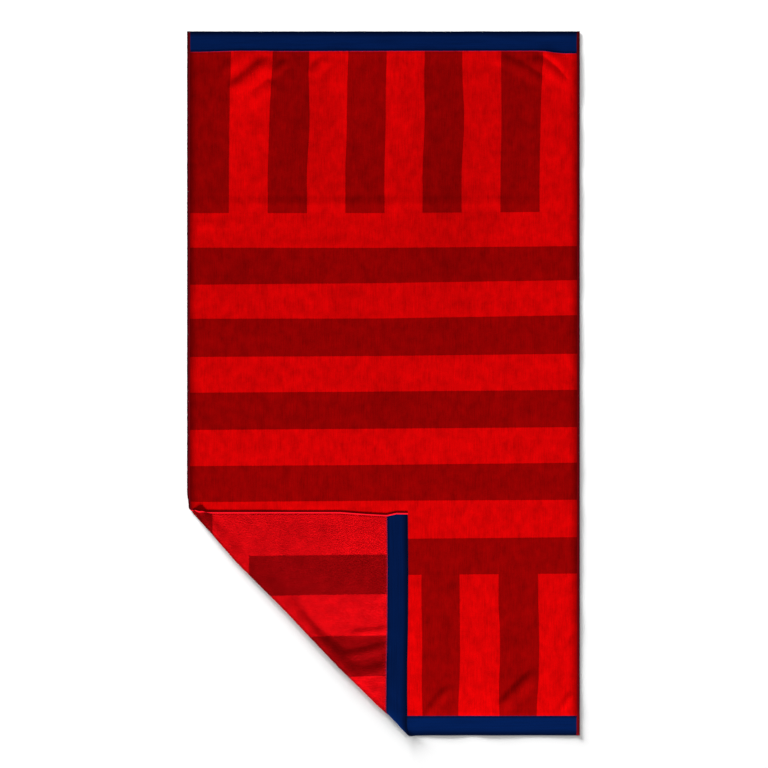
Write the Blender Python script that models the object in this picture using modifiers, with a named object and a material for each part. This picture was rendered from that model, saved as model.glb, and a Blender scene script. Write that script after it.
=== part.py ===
"""A striped beach towel that lies face up with its lower left corner folded over onto its face.

The towel is one woven length with a thick pile field and a thinner plain heading at each end. Its
points are first laid out on the flat cloth. Each is then put where the folded towel has it: on the
surface that the towel lies on, raised in a crease, round the roll of the fold, or on the flap.
The modelled surface is the back of the cloth. Its thickness is added towards the face.

The origin is at the middle of the underside. X runs across the towel, Y along it, and Z is up.
"""
import math

import bpy
import numpy as np
from mathutils import Vector
from mathutils.geometry import delaunay_2d_cdt

# Cloth, in metres.
TOWEL_WIDTH = 1.016
TOWEL_LENGTH = 1.824
PILE_THICKNESS = 0.0030
HEADING_THICKNESS = 0.0019
HEADING_LENGTH = 0.051
HEADING_STEP = 0.004

# The fold crosses the left side and the bottom hem this far from the folded corner.
FOLD_ON_SIDE = 0.5715
FOLD_ON_HEM = 0.5780
LAY_GAP = 0.0016

# The fold's roll, from its end on the left side to its end on the bottom hem. along is the distance
# from the left end, radius is the outside of the roll, drift is how far the roll lies towards the
# middle of the towel, and settle is the run over which the flap comes down behind the roll, once it
# has stayed up over SETTLE_HOLD. The drift fades out over DRIFT_RUN on both sides of the roll. The
# cloth under the roll has EARLY_DRIFT of it. The roll's left end is lifted by END_LIFT, which is gone
# LIFT_RUN further along.
DRIFT_RUN = 0.035
EARLY_DRIFT = 0.35
SETTLE_HOLD = 0.004
END_LIFT = 0.0022
LIFT_RUN = 0.060
FOLD = np.array(
    [
        (0.000, 0.0065, 0.0182, 0.024),
        (0.030, 0.0068, 0.0121, 0.028),
        (0.080, 0.0070, 0.0078, 0.034),
        (0.130, 0.0068, 0.0045, 0.036),
        (0.180, 0.0064, 0.0015, 0.038),
        (0.260, 0.0070, 0.0009, 0.040),
        (0.320, 0.0080, 0.0002, 0.036),
        (0.360, 0.0088, -0.0003, 0.026),
        (0.440, 0.0092, -0.0036, 0.020),
        (0.480, 0.0092, -0.0050, 0.022),
        (0.560, 0.0092, -0.0072, 0.030),
        (0.620, 0.0082, -0.0058, 0.032),
        (0.700, 0.0070, -0.0028, 0.034),
        (0.745, 0.0070, -0.0002, 0.034),
        (0.770, 0.0072, -0.0018, 0.034),
        (0.790, 0.0075, -0.0033, 0.034),
        (0.813, 0.0078, -0.0038, 0.034),
    ],
    dtype=[("along", float), ("radius", float), ("drift", float), ("settle", float)],
)

# How far the flap's two free edges stray outwards from straight. start is the distance from the
# flap's corner, and stray is the distance outwards. The upper edge is the towel's left side, and
# the right edge is its bottom hem. Each edge has its full stray over the hold next to it, and the
# stray then fades over STRAY_FADE.
UPPER_EDGE = np.array(
    [
        (0.0, -0.0016), (0.030, -0.0008), (0.055, -0.0061), (0.110, -0.0026), (0.175, 0.0030),
        (0.550, 0.0071),
    ],
    dtype=[("start", float), ("stray", float)],
)
RIGHT_EDGE = np.array(
    [
        (0.0, 0.0), (0.150, -0.0004), (0.300, -0.003), (0.400, -0.0062), (0.470, -0.0071),
        (0.540, -0.0070), (0.578, -0.0050),
    ],
    dtype=[("start", float), ("stray", float)],
)
UPPER_HOLD = 0.020
RIGHT_HOLD = 0.055
STRAY_FADE = 0.10

# How far the flap's left end is pulled to the right and back, and how far from it that reaches.
END_PULL = np.array([0.0155, -0.0092])
PULL_REACH = 0.060

# Raised creases, each from one end of its crest to the other. bow is how far the middle of the
# crest swings to the left of the line between its ends. left and right are from the crest to its feet.
CREASE = [
    ("x0", float), ("y0", float), ("x1", float), ("y1", float),
    ("bow", float), ("left", float), ("right", float), ("height", float),
]
FACE_CREASES = np.array(
    [
        # Drag folds under the top heading at the left.
        (-0.4070, 0.7420, -0.2820, 0.8420, 0.000, 0.030, 0.046, 0.0100),
        (-0.4250, 0.7980, -0.3500, 0.8600, 0.000, 0.024, 0.028, 0.0030),
        (-0.3560, 0.7230, -0.2800, 0.7900, 0.000, 0.030, 0.038, 0.0052),
        (-0.2950, 0.7995, -0.2420, 0.8360, 0.000, 0.016, 0.018, 0.0036),
        (-0.2000, 0.7925, -0.1430, 0.8450, 0.000, 0.018, 0.024, 0.0034),
        # Drag folds under the top heading at the right.
        (0.3950, 0.8720, 0.5080, 0.7250, 0.022, 0.030, 0.013, 0.0058),
        (0.3700, 0.8480, 0.4900, 0.7550, 0.008, 0.024, 0.024, 0.0058),
        (0.2780, 0.8500, 0.4200, 0.7720, 0.006, 0.022, 0.024, 0.0042),
        # Packing creases across the towel.
        (-0.5600, 0.4705, 0.5600, 0.4760, 0.000, 0.008, 0.034, 0.0030),
        (-0.5300, 0.4020, -0.2950, 0.4220, 0.004, 0.006, 0.016, 0.0022),
        (-0.3800, 0.3580, -0.0600, 0.3640, 0.000, 0.006, 0.008, 0.0014),
        # Two soft creases that run down the middle of the towel's upper half.
        (0.060, 0.460, 0.129, 0.285, 0.000, 0.026, 0.014, 0.0026),
        (0.298, 0.460, 0.251, 0.247, 0.000, 0.014, 0.026, 0.0032),
        # Puckers above the bottom heading.
        (0.2900, -0.8520, 0.3990, -0.7400, 0.000, 0.020, 0.034, 0.0080),
        (0.1080, -0.8590, 0.1720, -0.7810, 0.000, 0.015, 0.022, 0.0050),
        (0.4560, -0.8560, 0.4930, -0.7990, 0.003, 0.012, 0.014, 0.0040),
    ],
    dtype=CREASE,
)
FLAP_CREASES = np.array(
    [
        (-0.1000, -0.6490, 0.0300, -0.6340, -0.002, 0.014, 0.018, 0.0040),
        (-0.1250, -0.7080, 0.0300, -0.6720, -0.007, 0.020, 0.020, 0.0060),
        (-0.0950, -0.7550, 0.0300, -0.7300, -0.005, 0.024, 0.020, 0.0060),
    ],
    dtype=CREASE,
)
CREASE_END = 0.28
SIDE_EASE = 0.030

# Spacing of the points.
FIELD_PITCH = 0.045
EDGE_PITCH = 0.036
ROLL_PITCH = 0.024
CREASE_PITCH = 0.018
ROLL_STEPS = 10
SETTLE_STEPS = 5
CREASE_CLEARANCE = 0.006
FIELD_CLEARANCE = 0.022
OUTLINE_CLEARANCE = 0.007
WELD_DISTANCE = 0.00001
SHARP_EDGE = math.radians(40)

CORNER = np.array([-TOWEL_WIDTH / 2, -TOWEL_LENGTH / 2])
FOLD_LENGTH = math.hypot(FOLD_ON_SIDE, FOLD_ON_HEM)
FOLD_START = CORNER + np.array([0.0, FOLD_ON_SIDE])
FOLD_RUN = np.array([FOLD_ON_HEM, -FOLD_ON_SIDE]) / FOLD_LENGTH
FOLD_INWARD = np.array([FOLD_ON_SIDE, FOLD_ON_HEM]) / FOLD_LENGTH


def clear_scene():
    for obj in list(bpy.context.scene.objects):
        bpy.data.objects.remove(obj, do_unlink=True)


def smooth(share):
    """0 up to 0, 1 from 1, and an even S between."""
    share = np.clip(share, 0.0, 1.0)
    return share * share * (3.0 - 2.0 * share)


def fold_frame(cloth):
    """Each point's distance along the fold and its distance from the fold, inwards."""
    offset = cloth - FOLD_START
    return offset @ FOLD_RUN, offset @ FOLD_INWARD


def mirrored(cloth):
    """Each point's mirror image across the fold."""
    across = fold_frame(cloth)[1]
    return cloth - 2.0 * across[:, None] * FOLD_INWARD


def fold_value(column, along):
    return np.interp(along, FOLD["along"], FOLD[column])


def thickness(cloth):
    """Pile in the field, thinned to the plain weave of the heading over a short step."""
    from_end = TOWEL_LENGTH / 2 - np.abs(cloth[:, 1])
    pile = np.clip((from_end - HEADING_LENGTH) / HEADING_STEP, 0.0, 1.0)
    return HEADING_THICKNESS + (PILE_THICKNESS - HEADING_THICKNESS) * pile


def crease_frame(crease, points):
    """Each point's share of the way along the crest, and its distance from the crest."""
    start = np.array([crease["x0"], crease["y0"]])
    run = np.array([crease["x1"], crease["y1"]]) - start
    length = np.hypot(*run)
    run /= length
    offset = points - start
    share = offset @ run / length
    sideways = offset @ np.array([-run[1], run[0]])
    return share, sideways - crease["bow"] * 4.0 * share * (1.0 - share)


def crease_height(creases, points):
    """The tallest crease over each point: a raised cosine across it, eased down at its ends."""
    height = np.zeros(len(points))
    for crease in creases:
        share, sideways = crease_frame(crease, points)
        reach = np.where(sideways > 0.0, crease["left"], crease["right"])
        profile = np.cos(np.clip(sideways / reach, -1.0, 1.0) * math.pi / 2) ** 2
        ends = smooth(np.minimum(share, 1.0 - share) / CREASE_END)
        height = np.maximum(height, crease["height"] * profile * ends)
    return height


def face_relief(points):
    """How high the creases raise the face-up cloth. They die away at the towel's two sides."""
    inwards = (TOWEL_WIDTH / 2 - np.abs(points[:, 0])) / SIDE_EASE
    return crease_height(FACE_CREASES, points) * smooth(inwards)


def stray_of_edges(cloth):
    """How far a point of the flap is moved by its uneven edges and by the pull at its left end."""
    from_side = cloth[:, 0] - CORNER[0]
    from_hem = cloth[:, 1] - CORNER[1]
    upwards = np.interp(from_hem, UPPER_EDGE["start"], UPPER_EDGE["stray"])
    outwards = np.interp(from_side, RIGHT_EDGE["start"], RIGHT_EDGE["stray"])
    upwards *= 1.0 - smooth((from_side - UPPER_HOLD) / STRAY_FADE)
    outwards *= 1.0 - smooth((from_hem - RIGHT_HOLD) / STRAY_FADE)
    from_fold_end = np.hypot(*(cloth - FOLD_START).T)
    pull = smooth(1.0 - from_fold_end / PULL_REACH)
    return np.column_stack([outwards, upwards]) + pull[:, None] * END_PULL


def laid_towel(cloth):
    """Where the back of the cloth lies at each point of the flat cloth."""
    along, across = fold_frame(cloth)
    radius = fold_value("radius", along)
    drift = fold_value("drift", along)
    settle = fold_value("settle", along)
    thick = thickness(cloth)
    neutral = radius - thick / 2
    bend = neutral * math.pi / 2
    lift = END_LIFT * (1.0 - smooth(along / LIFT_RUN))

    # The part that stays face up.
    beside = smooth((across - bend) / DRIFT_RUN)
    level = across + EARLY_DRIFT * drift * (1.0 - beside)
    height = lift + (face_relief(cloth) - lift) * beside

    # The roll: a half turn round the fold.
    turn = np.clip((bend - across) / neutral, 0.0, math.pi)
    rolled = np.abs(across) <= bend
    pull = EARLY_DRIFT + (1.0 - EARLY_DRIFT) * smooth(turn / (math.pi / 2))
    level = np.where(rolled, bend + drift * pull - radius * np.sin(turn), level)
    height = np.where(rolled, lift + radius * (1.0 - np.cos(turn)), height)

    # The flap: a mirror image that comes down onto the face.
    beyond = -bend - across
    on_flap = beyond > 0.0
    level = np.where(on_flap, -across + drift * (1.0 - smooth(beyond / DRIFT_RUN)), level)
    spot = mirrored(cloth)
    rest = thickness(spot) + face_relief(spot) + LAY_GAP + thick
    rest += crease_height(FLAP_CREASES, spot)
    top = lift + 2.0 * radius
    lowering = smooth((beyond - SETTLE_HOLD) / settle)
    height = np.where(on_flap, top + (rest - top) * lowering, height)

    plan = FOLD_START + along[:, None] * FOLD_RUN + level[:, None] * FOLD_INWARD
    plan += stray_of_edges(cloth) * smooth((bend - across) / (2.0 * bend))[:, None]
    return np.column_stack([plan, height])


def line_of(x, y):
    return np.column_stack(np.broadcast_arrays(x, y))


def spaced(start, end, pitch):
    """Even steps from start to end, with both ends."""
    return np.linspace(start, end, max(1, round((end - start) / pitch)) + 1)


def half_bend(along, thick=PILE_THICKNESS):
    """Half of the cloth that the roll takes up, measured midway through its thickness."""
    return (fold_value("radius", along) - thick / 2) * math.pi / 2


def settled(along, thick=PILE_THICKNESS):
    """How far from the fold the flap has come down onto the face."""
    return half_bend(along, thick) + SETTLE_HOLD + fold_value("settle", along)


def row_offsets(along, thick=PILE_THICKNESS):
    """How far from the fold each row of points lies: down the slope behind the roll, then round it."""
    bend = half_bend(along, thick)
    slope = np.linspace(-settled(along, thick), -bend, SETTLE_STEPS + 1)
    return np.concatenate([slope[:-1], np.linspace(-bend, bend, ROLL_STEPS + 1)])


def folded_edge(length, crossing, slope, along, thick):
    """Steps along an edge that the fold crosses, with a stop at each row of points there."""
    stops = crossing + row_offsets(along, thick) / slope
    before = spaced(0.0, stops[0], EDGE_PITCH)[:-1]
    after = spaced(stops[-1], length, EDGE_PITCH)[1:]
    return np.concatenate([before, stops, after])


def with_headings(steps):
    """Steps along a side with both headings' borders put in, each in place of any step close by."""
    step = HEADING_LENGTH + HEADING_STEP
    stops = [HEADING_LENGTH, step, TOWEL_LENGTH - step, TOWEL_LENGTH - HEADING_LENGTH]
    distance = np.abs(steps[:, None] - np.array(stops)).min(axis=1)
    return np.sort(np.concatenate([steps[distance > EDGE_PITCH / 3], stops]))


def side_steps():
    """Steps up the left side, from the folded corner."""
    return folded_edge(TOWEL_LENGTH, FOLD_ON_SIDE, FOLD_INWARD[1], 0.0, PILE_THICKNESS)


def hem_steps():
    """Steps along the bottom hem, from the folded corner."""
    return folded_edge(TOWEL_WIDTH, FOLD_ON_HEM, FOLD_INWARD[0], FOLD_LENGTH, HEADING_THICKNESS)


def outline_points():
    """Points round the edge, anticlockwise from the folded corner."""
    bottom = hem_steps()
    right = with_headings(spaced(0.0, TOWEL_LENGTH, EDGE_PITCH))
    top = spaced(0.0, TOWEL_WIDTH, EDGE_PITCH)
    left = with_headings(side_steps())
    sides = [
        line_of(bottom[:-1], 0.0),
        line_of(TOWEL_WIDTH, right[:-1]),
        line_of(top[:0:-1], TOWEL_LENGTH),
        line_of(0.0, left[:0:-1]),
    ]
    return CORNER + np.concatenate(sides)


def inside(points):
    """The points that are well inside the outline."""
    room = np.array([TOWEL_WIDTH / 2, TOWEL_LENGTH / 2]) - np.abs(points)
    return points[room.min(axis=1) > OUTLINE_CLEARANCE]


def clear_of_roll(points):
    """The points that are well inside the outline, and not in the roll or the slope behind it."""
    points = inside(points)
    along, across = fold_frame(points)
    face_up = across > half_bend(along) + FIELD_CLEARANCE / 2
    return points[face_up | (across < -settled(along))]


def roll_rows():
    """Rows of points along the fold, each from the towel's left side to its bottom hem."""
    stations = spaced(0.0, FOLD_LENGTH, ROLL_PITCH)
    offsets = np.array([row_offsets(along) for along in stations])
    side_ends = FOLD_ON_SIDE + row_offsets(0.0) / FOLD_INWARD[1]
    hem_ends = FOLD_ON_HEM + row_offsets(FOLD_LENGTH, HEADING_THICKNESS) / FOLD_INWARD[0]
    for across, side, hem in zip(offsets.T, side_ends, hem_ends):
        row = FOLD_START + stations[:, None] * FOLD_RUN + across[:, None] * FOLD_INWARD
        yield CORNER + np.array([0.0, side]), inside(row), CORNER + np.array([hem, 0.0])


def crease_points(crease):
    """Points along the crest, the flanks and the feet of a crease."""
    start = np.array([crease["x0"], crease["y0"]])
    run = np.array([crease["x1"], crease["y1"]]) - start
    length = np.hypot(*run)
    left = np.array([-run[1], run[0]]) / length
    share = spaced(0.0, 1.0, CREASE_PITCH / length)
    swing = crease["bow"] * 4.0 * share * (1.0 - share)
    lines = []
    reaches = (0.0, crease["left"] / 2, -crease["right"] / 2, crease["left"], -crease["right"])
    for reach in reaches:
        sideways = swing + reach
        lines.append(start + share[:, None] * run + sideways[:, None] * left)
    return np.concatenate(lines)


def heading_points():
    """Rows on both sides of the step between the field and each heading."""
    across = spaced(0.0, TOWEL_WIDTH, EDGE_PITCH)
    rows = []
    for inset in (HEADING_LENGTH, HEADING_LENGTH + HEADING_STEP):
        rows.append(line_of(across, inset))
        rows.append(line_of(across, TOWEL_LENGTH - inset))
    return CORNER + np.concatenate(rows)


def field_points():
    """An even grid over the whole cloth, with every other row set over by half a step."""
    x = spaced(FIELD_PITCH / 2, TOWEL_WIDTH - FIELD_PITCH / 2, FIELD_PITCH)
    y = spaced(FIELD_PITCH / 2, TOWEL_LENGTH - FIELD_PITCH / 2, FIELD_PITCH)
    grid_x, grid_y = np.meshgrid(x, y)
    grid_x[::2] += FIELD_PITCH / 4
    grid_x[1::2] -= FIELD_PITCH / 4
    return CORNER + line_of(grid_x.ravel(), grid_y.ravel())


def added(kept, points, clearance):
    """kept, with each further point that is at least clearance from all before it."""
    kept = list(kept)
    for point in points:
        gap = np.min(np.hypot(*(np.array(kept) - point).T))
        if gap >= clearance:
            kept.append(point)
    return np.array(kept)


def nearest(points, spot):
    return int(np.argmin(np.hypot(*(points - spot).T)))


def cloth_points():
    """All points of the flat cloth, the outline's first, and the pairs that the roll's rows join."""
    outline = outline_points()
    points = outline
    joined = []
    for side_end, row, hem_end in roll_rows():
        first = len(points)
        points = np.concatenate([points, row])
        chain = [nearest(outline, side_end), *range(first, len(points)), nearest(outline, hem_end)]
        joined += zip(chain[:-1], chain[1:])
    points = added(points, clear_of_roll(heading_points()), HEADING_STEP / 2)
    for crease in FACE_CREASES:
        points = added(points, clear_of_roll(crease_points(crease)), CREASE_CLEARANCE)
    for crease in FLAP_CREASES:
        unfolded = clear_of_roll(mirrored(crease_points(crease)))
        points = added(points, unfolded, CREASE_CLEARANCE)
    return added(points, clear_of_roll(field_points()), FIELD_CLEARANCE), joined


def cloth_sheet():
    """The back of the folded towel as an open mesh, its faces turned to the towel's face."""
    points, joined = cloth_points()
    flat = [Vector(point) for point in points]
    border = list(range(len(outline_points())))
    corners, _, faces, _, _, _ = delaunay_2d_cdt(flat, joined, [border], 1, WELD_DISTANCE)
    corners = np.array([tuple(corner) for corner in corners])
    mesh = bpy.data.meshes.new("towel")
    mesh.from_pydata(laid_towel(corners).tolist(), [], faces)
    mesh.update()
    return mesh, corners


def towel_material(name, colour, roughness):
    material = bpy.data.materials.new(name)
    material.use_nodes = True
    shader = material.node_tree.nodes["Principled BSDF"]
    shader.inputs["Base Color"].default_value = (*colour, 1.0)
    shader.inputs["Roughness"].default_value = roughness
    shader.inputs["Metallic"].default_value = 0.0
    return material


def make_towel(collection):
    mesh, corners = cloth_sheet()
    mesh.materials.append(towel_material("red_towelling", (0.55, 0.002, 0.003), 0.95))
    mesh.materials.append(towel_material("navy_heading", (0.003, 0.012, 0.075), 0.85))
    heading = TOWEL_LENGTH / 2 - HEADING_LENGTH
    for face in mesh.polygons:
        middle = np.mean([corners[index][1] for index in face.vertices])
        face.material_index = int(abs(middle) > heading)
    towel = bpy.data.objects.new("towel", mesh)
    collection.objects.link(towel)

    pile = towel.vertex_groups.new(name="pile")
    thin = HEADING_THICKNESS / PILE_THICKNESS
    for index, value in enumerate(thickness(corners)):
        pile.add([index], (value / PILE_THICKNESS - thin) / (1.0 - thin), "REPLACE")
    shell = towel.modifiers.new("thickness", "SOLIDIFY")
    shell.thickness = PILE_THICKNESS
    shell.offset = 1.0
    shell.use_even_offset = True
    shell.vertex_group = pile.name
    shell.thickness_vertex_group = thin
    mesh.shade_smooth()
    mesh.set_sharp_from_angle(angle=SHARP_EDGE)
    return towel


def main():
    clear_scene()
    collection = bpy.data.collections.new("beach_towel")
    bpy.context.scene.collection.children.link(collection)
    make_towel(collection)


main()
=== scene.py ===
"""Looks of a striped velour beach towel that lies face up with its lower left corner folded over.

Every surface is worked out on the flat cloth first: x runs across the towel and y along it, both in
metres from the towel's middle. laid_back() then says where the back of the cloth lies at each point,
and on_back() adds a height above the back, along the cloth's own normal. The sheet, its side hems,
its stitches and the loops on its back are all placed through these two functions.
"""
import math

import bpy
import numpy as np
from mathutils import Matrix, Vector


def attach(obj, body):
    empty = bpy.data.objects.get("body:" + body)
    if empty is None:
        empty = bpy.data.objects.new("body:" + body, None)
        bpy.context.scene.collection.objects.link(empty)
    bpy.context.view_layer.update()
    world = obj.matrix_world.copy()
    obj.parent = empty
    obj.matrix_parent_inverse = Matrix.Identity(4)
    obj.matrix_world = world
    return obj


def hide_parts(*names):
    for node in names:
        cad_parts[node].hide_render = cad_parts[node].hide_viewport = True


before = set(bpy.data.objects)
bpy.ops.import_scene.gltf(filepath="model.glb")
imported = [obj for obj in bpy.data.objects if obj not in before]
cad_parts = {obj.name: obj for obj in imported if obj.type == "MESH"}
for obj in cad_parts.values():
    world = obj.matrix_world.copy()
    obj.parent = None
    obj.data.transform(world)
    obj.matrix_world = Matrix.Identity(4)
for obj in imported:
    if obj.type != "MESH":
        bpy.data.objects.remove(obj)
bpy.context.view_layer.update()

# Cloth, in metres.
WIDTH = 1.016
LENGTH = 1.824
PILE_THICKNESS = 0.0030
GROUND_THICKNESS = 0.0019
HEADING_LENGTH = 0.051
BACK_HEADING = 0.0557
HEM_WIDTH = 0.0078
# The pile rises from the ground weave over HEADING_EASE next to a heading. At the towel's sides it
# starts HEM_SEAT in and is full HEM_EASE further in. The rim keeps this share of its thickness.
HEADING_EASE = 0.0045
HEM_SEAT = 0.005
HEM_EASE = 0.004
RIM_SHARE = 0.6

# The fold crosses the left side and the bottom hem this far from the folded corner.
FOLD_ON_SIDE = 0.5715
FOLD_ON_HEM = 0.5780
# The roll drifts off the fold's straight line. The cloth has EARLY_DRIFT of that where it starts to
# turn, and the drift dies away over DRIFT_RUN on either side of the roll.
EARLY_DRIFT = 0.35
DRIFT_RUN = 0.035
# The flap stays level over SETTLE_HOLD, then comes down to rest LAY_GAP above the face.
SETTLE_HOLD = 0.004
LAY_GAP = 0.0016
# How high the back lies above the floor. The roll's left end lies END_LIFT higher, over LIFT_RUN.
REST_HEIGHT = 0.0004
END_LIFT = 0.0022
LIFT_RUN = 0.060
# The stray of the flap's upper and right edges holds this far in from them, then fades.
UPPER_HOLD = 0.020
RIGHT_HOLD = 0.055
STRAY_FADE = 0.10
# The cloth at the flap's left end is pulled this way, and less and less up to PULL_REACH from it.
END_PULL = np.array([0.0155, -0.0092])
PULL_REACH = 0.060

CORNER = np.array([-WIDTH / 2, -LENGTH / 2])
FOLD_LENGTH = math.hypot(FOLD_ON_SIDE, FOLD_ON_HEM)
FOLD_START = CORNER + np.array([0.0, FOLD_ON_SIDE])
FOLD_RUN = np.array([FOLD_ON_HEM, -FOLD_ON_SIDE]) / FOLD_LENGTH
FOLD_INWARD = np.array([FOLD_ON_SIDE, FOLD_ON_HEM]) / FOLD_LENGTH
# The cloth's normal is taken from points this far to each side.
NORMAL_STEP = 0.0003


def table(columns, rows):
    """Rows of numbers under named columns."""
    return np.array(rows, dtype=[(name, float) for name in columns.split()])


# The fold's roll from its end on the left side to its end on the bottom hem: its radius, how far it
# drifts inwards, and how far the flap takes to come down behind it.
FOLD = table("along radius drift settle", [
    (0.000, 0.0065, 0.0182, 0.024),
    (0.030, 0.0068, 0.0121, 0.028),
    (0.080, 0.0070, 0.0078, 0.034),
    (0.130, 0.0068, 0.0045, 0.036),
    (0.180, 0.0064, 0.0015, 0.038),
    (0.260, 0.0070, 0.0009, 0.040),
    (0.320, 0.0080, 0.0002, 0.036),
    (0.360, 0.0088, -0.0003, 0.026),
    (0.440, 0.0092, -0.0036, 0.020),
    (0.480, 0.0092, -0.0050, 0.022),
    (0.560, 0.0092, -0.0072, 0.030),
    (0.620, 0.0082, -0.0058, 0.032),
    (0.700, 0.0070, -0.0028, 0.034),
    (0.745, 0.0070, -0.0002, 0.034),
    (0.770, 0.0072, -0.0018, 0.034),
    (0.790, 0.0075, -0.0033, 0.034),
    (0.813, 0.0078, -0.0038, 0.034),
])

# How far the flap's free edges stray outwards, by the distance from the flap's corner.
UPPER_EDGE = table("from_corner stray", [
    (0.0, -0.0016), (0.030, -0.0008), (0.055, -0.0061), (0.110, -0.0026), (0.175, 0.0030),
    (0.550, 0.0071),
])
RIGHT_EDGE = table("from_corner stray", [
    (0.0, 0.0), (0.150, -0.0004), (0.300, -0.003), (0.400, -0.0062), (0.470, -0.0071),
    (0.540, -0.0070), (0.578, -0.0050),
])

# Creases, each from one end of its crest to the other. bow is how far the middle of the crest
# swings to the left of the line between its ends. left and right are the widths of its two flanks.
CREASE = "x0 y0 x1 y1 bow left right height"
FACE_CREASES = table(CREASE, [
    # Drag folds under the top heading at the left.
    (-0.4070, 0.7420, -0.2820, 0.8420, 0.000, 0.030, 0.046, 0.0100),
    (-0.4250, 0.7980, -0.3500, 0.8600, 0.000, 0.024, 0.028, 0.0030),
    (-0.3560, 0.7230, -0.2800, 0.7900, 0.000, 0.030, 0.038, 0.0052),
    (-0.2950, 0.7995, -0.2420, 0.8360, 0.000, 0.016, 0.018, 0.0036),
    (-0.2000, 0.7925, -0.1430, 0.8450, 0.000, 0.018, 0.024, 0.0034),
    # Drag folds under the top heading at the right.
    (0.3950, 0.8720, 0.5080, 0.7250, 0.022, 0.030, 0.013, 0.0058),
    (0.3700, 0.8480, 0.4900, 0.7550, 0.008, 0.024, 0.024, 0.0058),
    (0.2780, 0.8500, 0.4200, 0.7720, 0.006, 0.022, 0.024, 0.0042),
    # Packing creases across the towel.
    (-0.5600, 0.4705, 0.5600, 0.4760, 0.000, 0.008, 0.034, 0.0030),
    (-0.5300, 0.4020, -0.2950, 0.4220, 0.004, 0.006, 0.016, 0.0022),
    (-0.3800, 0.3580, -0.0600, 0.3640, 0.000, 0.006, 0.008, 0.0014),
    # Two soft creases that run down the middle of the towel's upper half.
    (0.060, 0.460, 0.129, 0.285, 0.000, 0.026, 0.014, 0.0026),
    (0.298, 0.460, 0.251, 0.247, 0.000, 0.014, 0.026, 0.0032),
    # Puckers above the bottom heading.
    (0.2900, -0.8520, 0.3990, -0.7400, 0.000, 0.020, 0.034, 0.0080),
    (0.1080, -0.8590, 0.1720, -0.7810, 0.000, 0.015, 0.022, 0.0050),
    (0.4560, -0.8560, 0.4930, -0.7990, 0.003, 0.012, 0.014, 0.0040),
])
FLAP_CREASES = table(CREASE, [
    (-0.1000, -0.6490, 0.0300, -0.6340, -0.002, 0.014, 0.018, 0.0040),
    (-0.1250, -0.7080, 0.0300, -0.6720, -0.007, 0.020, 0.020, 0.0060),
    (-0.0950, -0.7550, 0.0300, -0.7300, -0.005, 0.024, 0.020, 0.0060),
])
# A crease rises over this share of its length at each end, and dies away this near the sides.
CREASE_END = 0.28
SIDE_EASE = 0.030

# Painted shade: how dark the cloth is drawn at the sides and on the roll, where it turns down and
# away, and how far in that reaches.
SIDE_SHADE = 0.33
SIDE_SHADE_WIDTH = 0.030
ROLL_SHADE = 0.55
ROLL_SHADE_WIDTH = 0.009
# The heading's back is drawn darker than its face, and it brightens towards the roll as a painted
# highlight where the roll turns it: how dark it is away from the roll, and over how far.
HEADING_BACK_SHADE = 0.72
HEADING_BACK_REACH = 0.035
# How bright the pile is next to the top heading, and how far down that reaches.
TOP_EDGE_TONE = 1.36
TOP_EDGE_REACH = 0.007

# Painted shade in the hollow behind the roll: how dark it is, how far it lies from the outline, and
# how wide it is.
HOLLOW = table("along depth distance width", [
    (0.300, 0.00, 0.044, 0.010), (0.355, 0.16, 0.039, 0.009), (0.420, 0.22, 0.029, 0.008),
    (0.475, 0.25, 0.024, 0.011), (0.520, 0.28, 0.030, 0.016), (0.580, 0.20, 0.024, 0.016),
    (0.620, 0.00, 0.016, 0.010),
])
# Painted light and shade on the cloth close behind the outline: how bright it is against the rest,
# along the roll.
RIM_TONE = table("along tone", [
    (0.000, 0.90), (0.200, 0.88), (0.260, 1.00), (0.330, 0.92), (0.440, 0.90), (0.490, 1.16),
    (0.560, 1.14), (0.620, 1.14), (0.700, 1.14), (0.760, 1.00),
])
RIM_TONE_WIDTH = 0.018

# Broad soft patches where the face is drawn lighter or darker, and one on the back.
FACE_PATCHES = table("x y reach_x reach_y tone", [
    (-0.370, 0.700, 0.075, 0.150, 1.13), (-0.165, 0.650, 0.045, 0.160, 0.90),
    (-0.050, 0.770, 0.075, 0.120, 1.19), (0.165, 0.420, 0.100, 0.250, 0.85),
    (0.380, 0.500, 0.050, 0.180, 1.07), (-0.360, 0.265, 0.075, 0.070, 0.89),
    (-0.090, 0.190, 0.055, 0.055, 0.90), (0.005, -0.045, 0.050, 0.080, 0.88),
    (-0.240, -0.280, 0.270, 0.060, 1.07), (0.075, -0.660, 0.022, 0.170, 1.10),
    (0.235, -0.835, 0.160, 0.045, 1.17), (0.440, 0.845, 0.090, 0.060, 1.16),
])
BACK_PATCHES = table("x y reach_x reach_y tone", [(-0.460, -0.600, 0.060, 0.200, 0.84)])

# Broad soft waves in the cloth. Their sum is cut off at WAVE_LIMIT times its usual size.
WAVE_SEED = 7
WAVE_COUNT = 26
WAVE_HEIGHT = 0.0011
WAVE_SHORTEST = 0.045
WAVE_LONGEST = 0.24
WAVE_LIMIT = 2.5

# Small puckers that the headings draw into the pile next to them. They start in the heading, slant a
# little, and are two waves that sway, with their rates in radians per metre.
PUCKER_HEIGHT = 0.0009
PUCKER_REACH = 0.055
PUCKER_START = -0.012
PUCKER_RISE = 0.020
PUCKER_LEAN = 0.10
PUCKER_WAVES = table("rate sway sway_rate phase", [(251.0, 3.0, 11.0, 0.0), (402.0, 2.5, 17.0, 1.0)])

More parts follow.
